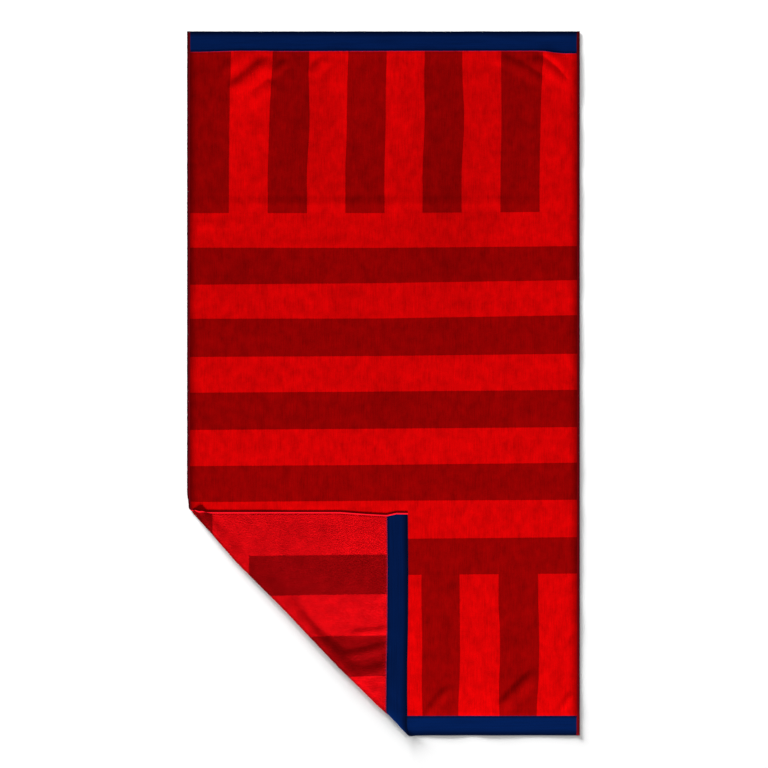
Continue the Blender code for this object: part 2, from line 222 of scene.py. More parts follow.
# Where the woven stripes lie. BANDS holds the borders of the cross bands along the towel, top first,
# and how far each strays towards the top at the towel's left and right sides. The other two hold the
# borders of the long stripes of each end block, left first.
BANDS = table("border left right", [
    (0.4411, 0.0000, 0.0029), (0.3507, 0.0005, 0.0041), (0.2597, -0.0039, 0.0070),
    (0.1680, -0.0008, 0.0075), (0.0708, -0.0021, 0.0051), (-0.0215, -0.0026, 0.0039),
    (-0.1174, -0.0029, 0.0036), (-0.2115, -0.0028, 0.0052), (-0.3038, -0.0033, 0.0019),
    (-0.4035, -0.0019, 0.0044), (-0.4968, -0.0032, 0.0036),
])
TOP_STRIPES = np.array(
    [-0.5015, -0.4004, -0.2994, -0.1983, -0.0985, 0.0026, 0.1011, 0.2022, 0.3032, 0.4043, 0.5030]
)
BOTTOM_STRIPES = np.array(
    [-0.5015, -0.3999, -0.2974, -0.1903, -0.0861, 0.0020, 0.0985, 0.1970, 0.2981, 0.4004, 0.5030]
)
# The bands' strays are measured this far from the towel's middle. Past the outer borders the count
# of bands goes on by one for each BAND_LENGTH.
BAND_ARM = 0.44
BAND_LENGTH = 0.094
LAST_BAND = len(BANDS) - 1.0
# How far the long stripes are dragged to the right: next to the heading, and in the block's middle.
TOP_DRAG = table("x end middle", [
    (-0.508, 0.0000, 0.0000), (-0.400, 0.0052, 0.0010), (-0.299, 0.0136, 0.0030),
    (-0.198, 0.0054, 0.0065), (-0.098, 0.0076, 0.0035), (0.003, 0.0054, 0.0025),
    (0.101, 0.0062, 0.0050), (0.202, 0.0020, 0.0065), (0.303, 0.0020, 0.0025),
    (0.404, 0.0099, 0.0020), (0.508, 0.0000, 0.0000),
])
BOTTOM_DRAG = table("x end middle", [
    (0.000, 0.0000, 0.0000), (0.0985, 0.0032, 0.0020), (0.1970, -0.0040, 0.0010),
    (0.2981, 0.0024, 0.0040), (0.4004, -0.0040, 0.0030), (0.508, 0.0000, 0.0000),
])
# How far from the heading the first drag fades, and where the second lies and how far it reaches.
TOP_FADE = 0.11
BOTTOM_FADE = 0.06
DRAG_MIDDLE = 0.18
DRAG_REACH = 0.15
# How far the pile of the field stops short of the top heading's usual border.
TOP_BORDER = table("x drop", [
    (-0.508, 0.0030), (-0.470, 0.0026), (-0.400, 0.0008), (-0.330, 0.0000), (-0.270, 0.0010),
    (0.400, 0.0000), (0.420, 0.0016), (0.440, 0.0056), (0.460, 0.0068), (0.508, 0.0066),
])

# The grid that the sheet is worked out on. In the folded corner both pitches divide the fold's
# two distances into as many steps, so that one diagonal of each cell runs along the fold. Its rows
# are closer together from UPPER_START up.
CORNER_STEPS = 123
RIGHT_STEPS = 60
MIDDLE_STEPS = 110
UPPER_STEPS = 22
HEADING_STEPS = 11
UPPER_START = 0.760


def clip_smooth(share):
    """0 up to 0, 1 from 1, and an even S between."""
    share = np.clip(share, 0.0, 1.0)
    return share * share * (3.0 - 2.0 * share)


def blend(start, end, share):
    """start at a share of 0, end at a share of 1, and evenly between."""
    return start + (end - start) * share


def read_off(rows, column, place):
    """A column of a table at each place, evenly between its rows. The first column holds places."""
    return np.interp(place, rows[rows.dtype.names[0]], rows[column])


def fold_frame(cloth):
    """Each point's distance along the fold and its distance from the fold, inwards."""
    offset = cloth - FOLD_START
    return offset @ FOLD_RUN, offset @ FOLD_INWARD


def mirrored(cloth):
    """Each point's mirror image across the fold."""
    return cloth - 2.0 * fold_frame(cloth)[1][:, None] * FOLD_INWARD


def crease_height(creases, points):
    """The tallest crease over each point: a raised cosine across it, eased down at its ends."""
    height = np.zeros(len(points))
    for crease in creases:
        start = np.array([crease["x0"], crease["y0"]])
        run = np.array([crease["x1"], crease["y1"]]) - start
        length = np.hypot(*run)
        offset = points - start
        share = offset @ run / length**2
        sideways = offset @ np.array([-run[1], run[0]]) / length
        sideways -= crease["bow"] * 4.0 * share * (1.0 - share)
        reach = np.where(sideways > 0.0, crease["left"], crease["right"])
        profile = np.cos(np.clip(sideways / reach, -1.0, 1.0) * math.pi / 2) ** 2
        ends = clip_smooth(np.minimum(share, 1.0 - share) / CREASE_END)
        height = np.maximum(height, crease["height"] * profile * ends)
    return height


def make_waves():
    """Directions, phases and weights of the plane waves whose sum is the cloth's soft unevenness."""
    draw = np.random.RandomState(WAVE_SEED)
    turn = draw.uniform(0.0, 2.0 * math.pi, WAVE_COUNT)
    length = WAVE_SHORTEST * (WAVE_LONGEST / WAVE_SHORTEST) ** draw.uniform(0.0, 1.0, WAVE_COUNT)
    vector = 2.0 * math.pi * np.vstack([np.cos(turn), np.sin(turn)]) / length
    return vector, draw.uniform(0.0, 2.0 * math.pi, WAVE_COUNT), length / length.sum()


WAVES = make_waves()


def soft_waves(points):
    """Plane waves of mixed lengths added together, from 0 to twice WAVE_HEIGHT."""
    vector, phase, weight = WAVES
    total = np.sin(points @ vector + phase) @ weight
    spread = math.sqrt(float((weight**2).sum()) / 2)
    return WAVE_HEIGHT * (1.0 + np.clip(total / spread / WAVE_LIMIT, -1.0, 1.0))


def from_end(cloth):
    """Each point's distance from the nearer end of the towel."""
    return LENGTH / 2 - np.abs(cloth[:, 1])


def from_side(cloth):
    """Each point's distance from the nearer side of the towel."""
    return WIDTH / 2 - np.abs(cloth[:, 0])


def pucker_height(points):
    """Short waves across the towel that are tallest at the pile's border and die away from it."""
    x, y = points.T
    waves = np.zeros(len(points))
    for wave in PUCKER_WAVES:
        sway = wave["sway"] * np.sin(x * wave["sway_rate"] + wave["phase"])
        waves += np.sin((x + PUCKER_LEAN * y) * wave["rate"] + sway)
    away = from_end(points) - HEADING_LENGTH
    fade = np.exp(-np.maximum(away, 0.0) / PUCKER_REACH)
    fade *= clip_smooth((away - PUCKER_START) / PUCKER_RISE)
    return PUCKER_HEIGHT * (1.0 + waves / len(PUCKER_WAVES)) * fade


def face_relief(points):
    """Height of the face-up cloth's back. The creases die away at the towel's sides."""
    inside = clip_smooth(from_side(points) / SIDE_EASE)
    creases = crease_height(FACE_CREASES, points) * inside
    return REST_HEIGHT + (soft_waves(points) + pucker_height(points) + creases)


def from_border(cloth):
    """Each point's distance from the border between pile and heading on the face, into the pile."""
    drop = read_off(TOP_BORDER, "drop", cloth[:, 0])
    return from_end(cloth) - HEADING_LENGTH - np.where(cloth[:, 1] > 0.0, drop, 0.0)


def thickness(cloth):
    """Pile in the field, thinned to the ground weave under the side hems and in the headings."""
    end = clip_smooth(from_border(cloth) / HEADING_EASE)
    side = clip_smooth((from_side(cloth) - HEM_SEAT) / HEM_EASE)
    return blend(GROUND_THICKNESS, PILE_THICKNESS, np.minimum(end, side))


def roll_shape(along):
    """The roll's radius, its drift, and how much cloth a quarter of its turn takes up.

    The cloth is measured at its middle, half its thickness in from the radius.
    """
    radius = read_off(FOLD, "radius", along)
    bend = (radius - PILE_THICKNESS / 2) * math.pi / 2
    return radius, read_off(FOLD, "drift", along), bend


def stray_of_edges(cloth):
    """How far a point of the flap is moved by its uneven edges and by the pull at its left end."""
    from_left, from_hem = (cloth - CORNER).T
    upwards = read_off(UPPER_EDGE, "stray", from_hem)
    upwards *= 1.0 - clip_smooth((from_left - UPPER_HOLD) / STRAY_FADE)
    outwards = read_off(RIGHT_EDGE, "stray", from_left)
    outwards *= 1.0 - clip_smooth((from_hem - RIGHT_HOLD) / STRAY_FADE)
    pull = clip_smooth(1.0 - np.hypot(*(cloth - FOLD_START).T) / PULL_REACH)
    return np.column_stack([outwards, upwards]) + pull[:, None] * END_PULL


def laid_back(cloth):
    """Where the back of the cloth lies: flat with its relief, round the roll, or on the flap."""
    along, across = fold_frame(cloth)
    radius, drift, bend = roll_shape(along)
    foot = REST_HEIGHT + END_LIFT * (1.0 - clip_smooth(along / LIFT_RUN))

    # The part that stays face up.
    beside = clip_smooth((across - bend) / DRIFT_RUN)
    level = across + EARLY_DRIFT * drift * (1.0 - beside)
    height = blend(foot, face_relief(cloth), beside)

    # The roll: a half turn round the fold.
    turn = np.clip((bend - across) / bend * math.pi / 2, 0.0, math.pi)
    rolled = np.abs(across) <= bend
    pull = blend(EARLY_DRIFT, 1.0, clip_smooth(turn / (math.pi / 2)))
    level = np.where(rolled, bend + drift * pull - radius * np.sin(turn), level)
    height = np.where(rolled, foot + radius * (1.0 - np.cos(turn)), height)

    # The flap: a mirror image that comes down onto the face.
    beyond = -bend - across
    on_flap = beyond > 0.0
    level = np.where(on_flap, -across + drift * (1.0 - clip_smooth(beyond / DRIFT_RUN)), level)
    spot = mirrored(cloth)
    rest = thickness(spot) + face_relief(spot) + LAY_GAP + thickness(cloth)
    rest += crease_height(FLAP_CREASES, spot)
    lowering = clip_smooth((beyond - SETTLE_HOLD) / read_off(FOLD, "settle", along))
    height = np.where(on_flap, blend(foot + 2.0 * radius, rest, lowering), height)

    plan = FOLD_START + along[:, None] * FOLD_RUN + level[:, None] * FOLD_INWARD
    plan += stray_of_edges(cloth) * clip_smooth((bend - across) / (2.0 * bend))[:, None]
    return np.column_stack([plan, height])


def patch_tone(cloth, patches):
    """How bright the cloth is: 1, with a soft lighter or darker patch for each row of the table."""
    tone = np.ones(len(cloth))
    for patch in patches:
        x = (cloth[:, 0] - patch["x"]) / patch["reach_x"]
        y = (cloth[:, 1] - patch["y"]) / patch["reach_y"]
        tone *= blend(1.0, patch["tone"], np.exp(-(x**2) - y**2))
    return tone


def from_outline(cloth):
    """How far each point lies from the roll's outermost line, seen from above."""
    radius, drift, bend = roll_shape(fold_frame(cloth)[0])
    place = laid_back(cloth)[:, :2] - FOLD_START
    return place @ FOLD_INWARD - (bend + drift - radius)


def roll_painted_shade(cloth):
    """Painted shade and light on the roll and flap: dark at the outline and in the hollow behind it."""
    along, across = fold_frame(cloth)
    away = from_outline(cloth)
    tone = blend(ROLL_SHADE, 1.0, clip_smooth(away / ROLL_SHADE_WIDTH))
    off_hollow = (away - read_off(HOLLOW, "distance", along)) / read_off(HOLLOW, "width", along)
    tone *= 1.0 - read_off(HOLLOW, "depth", along) * np.exp(-(off_hollow**2))
    near_rim = np.exp(-((away / RIM_TONE_WIDTH) ** 2))
    tone *= blend(1.0, read_off(RIM_TONE, "tone", along), near_rim)
    return np.where(across < roll_shape(along)[2], tone, 1.0)


def back_shade(cloth):
    """How bright the back is, with painted shade. Its heading gets a painted highlight at the roll."""
    near_roll = np.exp(-((from_outline(cloth) / HEADING_BACK_REACH) ** 2))
    heading = blend(HEADING_BACK_SHADE, 1.0, near_roll)
    pile = roll_painted_shade(cloth) * patch_tone(cloth, BACK_PATCHES)
    return np.where(from_end(cloth) < BACK_HEADING, heading, pile)


def face_shade(cloth):
    """How bright the face is: painted shade at the sides, and brighter next to the top heading."""
    inside = clip_smooth(from_side(cloth) / SIDE_SHADE_WIDTH)
    shade = roll_painted_shade(cloth) * patch_tone(cloth, FACE_PATCHES) * blend(SIDE_SHADE, 1.0, inside)
    border = from_border(cloth)
    near_top = np.where(cloth[:, 1] > 0.0, np.exp(-np.maximum(border, 0.0) / TOP_EDGE_REACH), 0.0)
    return np.where(border < 0.0, 1.0, shade * blend(1.0, TOP_EDGE_TONE, near_top))


def on_back(cloth, height):
    """The point at this height above the back, along the normal that points out of the face."""
    place = laid_back(cloth)
    across = laid_back(cloth + [NORMAL_STEP, 0.0]) - laid_back(cloth - [NORMAL_STEP, 0.0])
    along = laid_back(cloth + [0.0, NORMAL_STEP]) - laid_back(cloth - [0.0, NORMAL_STEP])
    normal = np.cross(across, along)
    normal /= np.linalg.norm(normal, axis=1)[:, None]
    return place + normal * np.reshape(height, (-1, 1))


def long_drag(cloth, drag, fade):
    """How far the long stripes have moved: most next to the heading, and again in mid-block."""
    away = from_end(cloth) - HEADING_LENGTH
    near = read_off(drag, "end", cloth[:, 0]) * np.exp(-((away / fade) ** 2))
    middle = np.clip((away - DRAG_MIDDLE) / DRAG_REACH, -1.0, 1.0)
    return near + read_off(drag, "middle", cloth[:, 0]) * np.cos(middle * math.pi / 2) ** 2


def straightened(cloth):
    """Each point put back on the flat cloth as if the roll had no drift, so that stripes stay straight."""
    along, across = fold_frame(cloth)
    _, drift, bend = roll_shape(along)
    turned = clip_smooth((bend - across) / (2.0 * bend))
    past = clip_smooth((-bend - across) / DRIFT_RUN)
    return cloth - (drift * turned * (1.0 - past))[:, None] * FOLD_INWARD


def stripe_coordinates(cloth):
    """How many long stripes and cross bands each point is from the left and from the first band.

    Between two borders the count goes up evenly by one, so the weave's unevenness is in these
    numbers and the pattern on them is regular.
    """
    cloth = straightened(cloth)
    x, y = cloth.T
    counts = np.arange(len(TOP_STRIPES))
    upper = np.interp(x - long_drag(cloth, TOP_DRAG, TOP_FADE), TOP_STRIPES, counts)
    lower = np.interp(x - long_drag(cloth, BOTTOM_DRAG, BOTTOM_FADE), BOTTOM_STRIPES, counts)
    stripes = np.where(y > 0.0, upper, lower)
    first, last = BANDS["border"][[0, -1]]
    rising = BANDS[::-1]
    level = y - read_off(rising, "left", y) * np.maximum(-x, 0.0) / BAND_ARM
    level -= read_off(rising, "right", y) * np.maximum(x, 0.0) / BAND_ARM
    bands = np.interp(-level, -BANDS["border"], np.arange(len(BANDS)))
    bands = np.where(level > first, (first - level) / BAND_LENGTH, bands)
    bands = np.where(level < last, LAST_BAND + (last - level) / BAND_LENGTH, bands)
    return np.column_stack([stripes, bands])


def new_mesh(name, points, faces, smooth=True):
    """A mesh from an array of points and a list of faces."""
    mesh = bpy.data.meshes.new(name)
    mesh.from_pydata(points.tolist(), [], faces)
    mesh.polygons.foreach_set("use_smooth", np.full(len(mesh.polygons), smooth))
    mesh.update()
    return mesh


def add_cloth_maps(mesh, cloth, border, shade):
    """Flat place in metres, stripe and band counts, distance from the pile's border, and shade."""
    corners = np.empty(len(mesh.loops), dtype=np.int32)
    mesh.loops.foreach_get("vertex_index", corners)
    for name, values in (("cloth", cloth - CORNER), ("stripes", stripe_coordinates(cloth))):
        layer = mesh.uv_layers.new(name=name)
        layer.data.foreach_set("uv", values[corners].astype(np.float32).ravel())
    for name, values in (("border", border), ("shade", shade)):
        layer = mesh.attributes.new(name, "FLOAT", "POINT")
        layer.data.foreach_set("value", values.astype(np.float32))


def new_piece(name, mesh, slot, *materials):
    """An object on the part's body that, with the others, stands for the towel's solid."""
    piece = bpy.data.objects.new(name, mesh)
    bpy.context.scene.collection.objects.link(piece)
    for material in materials:
        mesh.materials.append(material)
    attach(piece, "root")
    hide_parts("towel")
    return piece


# The sheet, and the slots of its materials.

FACE_PILE, BACK_PILE, WOVEN = 0, 1, 2


def sheet_points():
    """The grid's points on the flat cloth. The rows near the top bend to follow the pile's border."""
    fold_x, fold_y = CORNER + [FOLD_ON_HEM, FOLD_ON_SIDE]
    border = LENGTH / 2 - HEADING_LENGTH
    x = np.concatenate([
        np.linspace(-WIDTH / 2, fold_x, CORNER_STEPS + 1),
        np.linspace(fold_x, WIDTH / 2, RIGHT_STEPS + 1)[1:],
    ])
    y = np.concatenate([
        np.linspace(-LENGTH / 2, fold_y, CORNER_STEPS + 1),
        np.linspace(fold_y, UPPER_START, MIDDLE_STEPS + 1)[1:],
        np.linspace(UPPER_START, border, UPPER_STEPS + 1)[1:],
        np.linspace(border, LENGTH / 2, HEADING_STEPS + 1)[1:],
    ])
    grid_x, grid_y = np.meshgrid(x, y)
    from_top = len(y) - 1 - np.arange(len(y))
    below_border = (HEADING_STEPS + UPPER_STEPS - from_top) / UPPER_STEPS
    follow = np.clip(np.minimum(below_border, from_top / HEADING_STEPS), 0.0, 1.0)
    grid_y -= follow[:, None] * read_off(TOP_BORDER, "drop", x)
    return grid_x, grid_y


def cell_faces(rows, columns, first, flip):
    """Two triangles for each cell of a grid, split along the diagonal that the fold follows."""
    index = first + np.arange(rows * columns).reshape(rows, columns)
    a, b = index[:-1, :-1].ravel(), index[:-1, 1:].ravel()
    c, d = index[1:, 1:].ravel(), index[1:, :-1].ravel()
    lower, upper = np.column_stack([a, b, d]), np.column_stack([b, c, d])
    faces = np.stack([lower, upper], axis=1).reshape(-1, 3)
    return faces[:, ::-1] if flip else faces


def border_ring(rows, columns):
    """The indices round the edge of a grid, anticlockwise from its first point."""
    index = np.arange(rows * columns).reshape(rows, columns)
    return np.concatenate([index[0, :-1], index[:-1, -1], index[-1, :0:-1], index[:0:-1, 0]])


def make_sheet(velour, terry, heading):
    """The cloth as a closed sheet: its face, its back, and the rim between them."""
    grid_x, grid_y = sheet_points()
    rows, columns = grid_x.shape
    cloth = np.column_stack([grid_x.ravel(), grid_y.ravel()])
    count = len(cloth)
    ring = border_ring(rows, columns)
    onward = np.roll(ring, -1)
    thick = thickness(cloth)
    thick[ring] *= RIM_SHARE
    points = np.concatenate([on_back(cloth, thick), laid_back(cloth)])
    face = cell_faces(rows, columns, 0, False)
    back = cell_faces(rows, columns, count, True)
    rim = np.concatenate([
        np.column_stack([ring, ring + count, onward + count]),
        np.column_stack([ring, onward + count, onward]),
    ])
    mesh = new_mesh("towel_cloth", points, np.concatenate([face, back, rim]).tolist())
    border = np.concatenate([from_border(cloth), from_end(cloth) - BACK_HEADING])
    shade = np.concatenate([face_shade(cloth), back_shade(cloth)])
    add_cloth_maps(mesh, np.concatenate([cloth, cloth]), border, shade)

    # The headings' rows of cells. On the back the bottom heading is one row longer.
    cell_row = np.repeat(np.arange(rows - 1), 2 * (columns - 1))
    in_top = cell_row >= rows - 1 - HEADING_STEPS
    face_slots = np.where((cell_row < HEADING_STEPS) | in_top, WOVEN, FACE_PILE)
    back_slots = np.where((cell_row <= HEADING_STEPS) | in_top, WOVEN, BACK_PILE)
    slots = np.concatenate([face_slots, back_slots, np.full(len(rim), WOVEN)])
    mesh.polygons.foreach_set("material_index", slots.astype(np.int32))
    return new_piece("towel_cloth", mesh, "towelling", velour, terry, heading)


# Side hems. A hem's section is a ring of points, each with its distance in from the towel's side, its
# height above the cloth's back and its brightness, which is painted shade at its outer edge, where the
# hem turns down. HEM_TONE is the brightness along the towel: lighter over the bottom heading, and
# darker over the top one as painted shade.

HEM_PROFILE = table("inward height shade", [
    (-0.0007, 0.0006, 0.1), (-0.0007, 0.0017, 0.1), (-0.0001, 0.0024, 0.1), (0.0014, 0.0027, 0.15),
    (0.0034, 0.0027, 1.1), (0.0066, 0.0025, 1.1), (HEM_WIDTH, 0.0017, 1.0), (HEM_WIDTH, 0.0008, 1.0),
    (0.0042, 0.0006, 1.0), (0.0034, -0.0002, 1.0), (0.0010, -0.0003, 1.0), (-0.0003, 0.0000, 0.6),
])
HEM_TONE = table("y tone", [
    (-0.912, 1.30), (-0.855, 1.30), (-0.845, 1.08), (0.600, 1.0), (0.850, 1.0), (0.864, 0.72),
])
# Each hem's name, its side of the towel, and the least brightness of its section, where the painted
# shade on its outer edge is deepest.
HEMS = (("left_hem", -1.0, 0.10), ("right_hem", 1.0, 0.28))
# The section's faces that start lower than this have the colour of the towel's back.
HEM_UNDERSIDE = 0.0005
# The inner edge, from WAVERING_FROM on, wavers in two waves, with their rates in radians per metre.
WAVERING_FROM = 0.006
HEM_WAVERS = table("size rate phase", [(0.0004, 61.0, 0.0), (0.0003, 143.0, 1.0)])
# Steps up the side, with fine ones this near the place where the fold turns the hem.
HEM_PITCH = 0.0060
HEM_FINE_PITCH = 0.0025
HEM_FINE_REACH = 0.06
HEM_UPPER_STATIONS = 200


def hem_stations():
    """Steps up the side: close together where the fold turns it, wider elsewhere."""
    first, last = FOLD_ON_SIDE - HEM_FINE_REACH, FOLD_ON_SIDE + HEM_FINE_REACH
    below = np.arange(0.0, first, HEM_PITCH)
    middle = np.arange(first, last, HEM_FINE_PITCH)
    above = np.linspace(last, LENGTH, HEM_UPPER_STATIONS)
    return np.concatenate([below, middle, above]) + CORNER[1]


def make_hem(name, side, darkest, *materials):
    """A hem: a rounded flat section carried up one side of the cloth, closed at both ends."""
    y = hem_stations()
    waver = sum(row["size"] * np.sin(y * row["rate"] + side * row["phase"]) for row in HEM_WAVERS)
    inner = np.where(HEM_PROFILE["inward"] > WAVERING_FROM, 1.0, 0.0)
    inward = HEM_PROFILE["inward"] + inner * waver[:, None]
    grids = np.broadcast_arrays(side * (WIDTH / 2 - inward), y[:, None])
    cloth = np.stack(grids, axis=-1).reshape(-1, 2)
    height = np.broadcast_to(HEM_PROFILE["height"], inward.shape).ravel()

    index = np.arange(height.size).reshape(inward.shape)
    onward = np.roll(index, -1, axis=1)
    walls = np.stack([index[:-1], onward[:-1], onward[1:], index[1:]], axis=-1).reshape(-1, 4)
    ends = [index[0].tolist(), index[-1].tolist()]
    if side > 0.0:
        walls = walls[:, ::-1]
        ends[1].reverse()
    else:
        ends[0].reverse()
    mesh = new_mesh(name, on_back(cloth, height), walls.tolist() + ends)
    under = np.tile(HEM_PROFILE["height"] < HEM_UNDERSIDE, len(y) - 1)
    mesh.polygons.foreach_set("material_index", np.append(under, [0, 0]).astype(np.int32))
    shade = read_off(HEM_TONE, "tone", y)[:, None] * np.maximum(HEM_PROFILE["shade"], darkest)
    add_cloth_maps(mesh, cloth, from_border(cloth), shade.ravel())
    return new_piece(name, mesh, "hem", *materials)


# Stitches. A stitch's rings have their place along it and their size, and its ends dip to the cloth.

STITCH_RINGS = table("along size", [(-1.0, 0.35), (-0.7, 1.0), (0.7, 1.0), (1.0, 0.35)])
STITCH_SIDES = 5
STITCH_DIP = 0.35
# Each row's pitch, half a stitch's length, its radius, and its height above the cloth's back.
HEM_STITCH = (0.0034, 0.0013, 0.0003, 0.0026)
FACE_STITCH = (0.0032, 0.0014, 0.0004, 0.0021)
BACK_STITCH = (0.0032, 0.0014, 0.0004, -0.0002)
# How far in from the side a hem's row runs, and how far out of the pile a heading's row runs.
HEM_ROW_INSET = 0.0058
FACE_ROW_DROP = 0.0016
BACK_ROW_DROP = 0.0012
# How far from the sides the face's row ends, and from the left side and the fold the back's.
FACE_ROW_INSET = 0.008
BACK_ROW_INSET = 0.004
BACK_ROW_STOP = 0.055


def stitch_row(start, end, pitch, half_length, radius, height):
    """Short bent capsules from start to end on the flat cloth: rings of points round each stitch."""
    start, end = np.array(start), np.array(end)
    length = np.hypot(*(end - start))
    run = (end - start) / length
    aside = np.array([-run[1], run[0]])
    middles = start + np.arange(pitch / 2, length, pitch)[:, None] * run
    angle = np.arange(STITCH_SIDES) * 2.0 * math.pi / STITCH_SIDES
    along, size = STITCH_RINGS["along"][:, None], STITCH_RINGS["size"][:, None]
    onward = along * half_length * np.ones(STITCH_SIDES)
    sideways = size * radius * np.cos(angle)
    rise = size * radius * np.sin(angle) - STITCH_DIP * radius * along**2 * np.sign(height)
    cloth = middles[:, None, None, :] + onward[..., None] * run + sideways[..., None] * aside
    return cloth.reshape(-1, 2), np.broadcast_to(height + rise, cloth.shape[:-1]).ravel()


def tube_faces(tubes, rings, sides):
    """Side triangles and end caps for many small tubes whose points come ring by ring."""
    index = np.arange(tubes * rings * sides).reshape(tubes, rings, sides)
    onward = np.roll(index, -1, axis=2)
    a, b, c, d = index[:, :-1], onward[:, :-1], onward[:, 1:], index[:, 1:]
    walls = np.stack([np.stack([a, b, c], axis=-1), np.stack([a, c, d], axis=-1)], axis=-2)
    fan = np.arange(1, sides - 1)
    caps = []
    for ring, order in ((0, (0, 2, 1)), (rings - 1, (0, 1, 2))):
        cap = index[:, ring]
        corners = np.broadcast_arrays(cap[:, :1], cap[:, fan], cap[:, fan + 1])
        caps.append(np.stack(corners, axis=-1)[..., order].reshape(-1, 3))
    return np.concatenate([walls.reshape(-1, 3), *caps])


def make_stitches(name, lines, stitch, material):
    """One piece with a row of equal stitches on each line."""
    parts = [stitch_row(*line, *stitch) for line in lines]
    cloth, height = (np.concatenate(values) for values in zip(*parts))
    rings = len(STITCH_RINGS)
    faces = tube_faces(len(cloth) // (rings * STITCH_SIDES), rings, STITCH_SIDES)
    mesh = new_mesh(name, on_back(cloth, height), faces.tolist())
    return new_piece(name, mesh, "stitching", material)


def make_all_stitches(dark_thread, thread):
    """The rows on both side hems, and those along the bottom heading on the face and on the back."""
    hem_x = WIDTH / 2 - HEM_ROW_INSET
    face_x = WIDTH / 2 - FACE_ROW_INSET
    face_y = -(LENGTH / 2 - HEADING_LENGTH + FACE_ROW_DROP)
    back_y = -(LENGTH / 2 - BACK_HEADING + BACK_ROW_DROP)
    back_start = (CORNER[0] + BACK_ROW_INSET, back_y)
    back_stop = (CORNER[0] + FOLD_ON_HEM - BACK_ROW_STOP, back_y)
    hem_lines = [((x, -LENGTH / 2), (x, LENGTH / 2)) for x in (-hem_x, hem_x)]
    face_line = ((-face_x, face_y), (face_x, face_y))
    return [
        make_stitches("hem_stitches", hem_lines, HEM_STITCH, dark_thread),
        make_stitches("face_heading_stitches", [face_line], FACE_STITCH, dark_thread),
        make_stitches("back_heading_stitches", [(back_start, back_stop)], BACK_STITCH, thread),
    ]


# Loops of the pile on the back, where the folded corner shows it. Their roots are a grid whose points
# are moved at random by up to LOOP_JITTER of its pitch.

LOOP_SEED = 21
LOOP_PITCH = 0.00285
LOOP_JITTER = 0.3
# The grid starts this far from the side and from the heading, and ends this far past the fold.
LOOP_START = 0.0048
LOOP_FIRST_ROW = 0.001
LOOP_OVERRUN = 0.02
# Roots further inwards of the fold than LOOP_LIMIT are left out, and so are those where LOOP_REACH
# off the back is less than LOOP_CLEARANCE above the floor.
LOOP_LIMIT = 0.0045
LOOP_REACH = 0.0015
LOOP_CLEARANCE = 0.0012
# One loop: its height, half the distance between its roots, its yarn's radius, how flat the yarn is,
# and how deep its roots are sunk. Loops are shorter next to the side hem, over LOOP_RISE.
LOOP_HEIGHT = 0.0010
LOOP_SPREAD = 0.0012
LOOP_THICKNESS = 0.00090
LOOP_FLATNESS = 0.45
LOOP_SIDES = 3
LOOP_SUNK = 0.0003
LOOP_RISE = 0.014
LOWEST_LOOP = 0.45
# How much loops differ: their turn in radians, how far they lean, and their height.
LOOP_TURN = 0.6
LOOP_LEAN = 0.0003
LOOP_TALLNESS = (0.86, 1.08)
# The light loops are two pieces, split this far from the towel's left side.
LOOP_SPLIT = 0.16
# The rings of one loop from root to root: its place along the loop, its height, and how far the
# ring is turned up from lying flat, in quarter turns.
LOOP_RINGS = table("along lift turned", [
    (-1.0, 0.0, 0.0), (-0.66, 0.78, 0.5), (0.0, 1.0, 1.0), (0.66, 0.78, 0.5), (1.0, 0.0, 0.0),
])


def loop_roots(draw):
    """A jittered grid of points on the cloth's back in the corner that is folded over."""
    grid_x, grid_y = np.meshgrid(
        np.arange(LOOP_START, FOLD_ON_HEM + LOOP_OVERRUN, LOOP_PITCH),
        np.arange(BACK_HEADING + LOOP_FIRST_ROW, FOLD_ON_SIDE + LOOP_OVERRUN, LOOP_PITCH),
    )
    grid_x[::2] += LOOP_PITCH / 2
    roots = CORNER + np.column_stack([grid_x.ravel(), grid_y.ravel()])
    roots += draw.uniform(-LOOP_JITTER, LOOP_JITTER, roots.shape) * LOOP_PITCH
    tips = on_back(roots, -LOOP_REACH)
    keep = (fold_frame(roots)[1] < LOOP_LIMIT) & (tips[:, 2] > LOOP_CLEARANCE)
    return roots[keep]


def is_dark(cloth):
    """True where the face is woven in the darker red."""
    stripes, bands = stripe_coordinates(cloth).T
    banded = (bands > 0.0) & (bands < LAST_BAND)
    return np.where(banded, bands % 2.0 >= 1.0, stripes % 2.0 < 1.0)


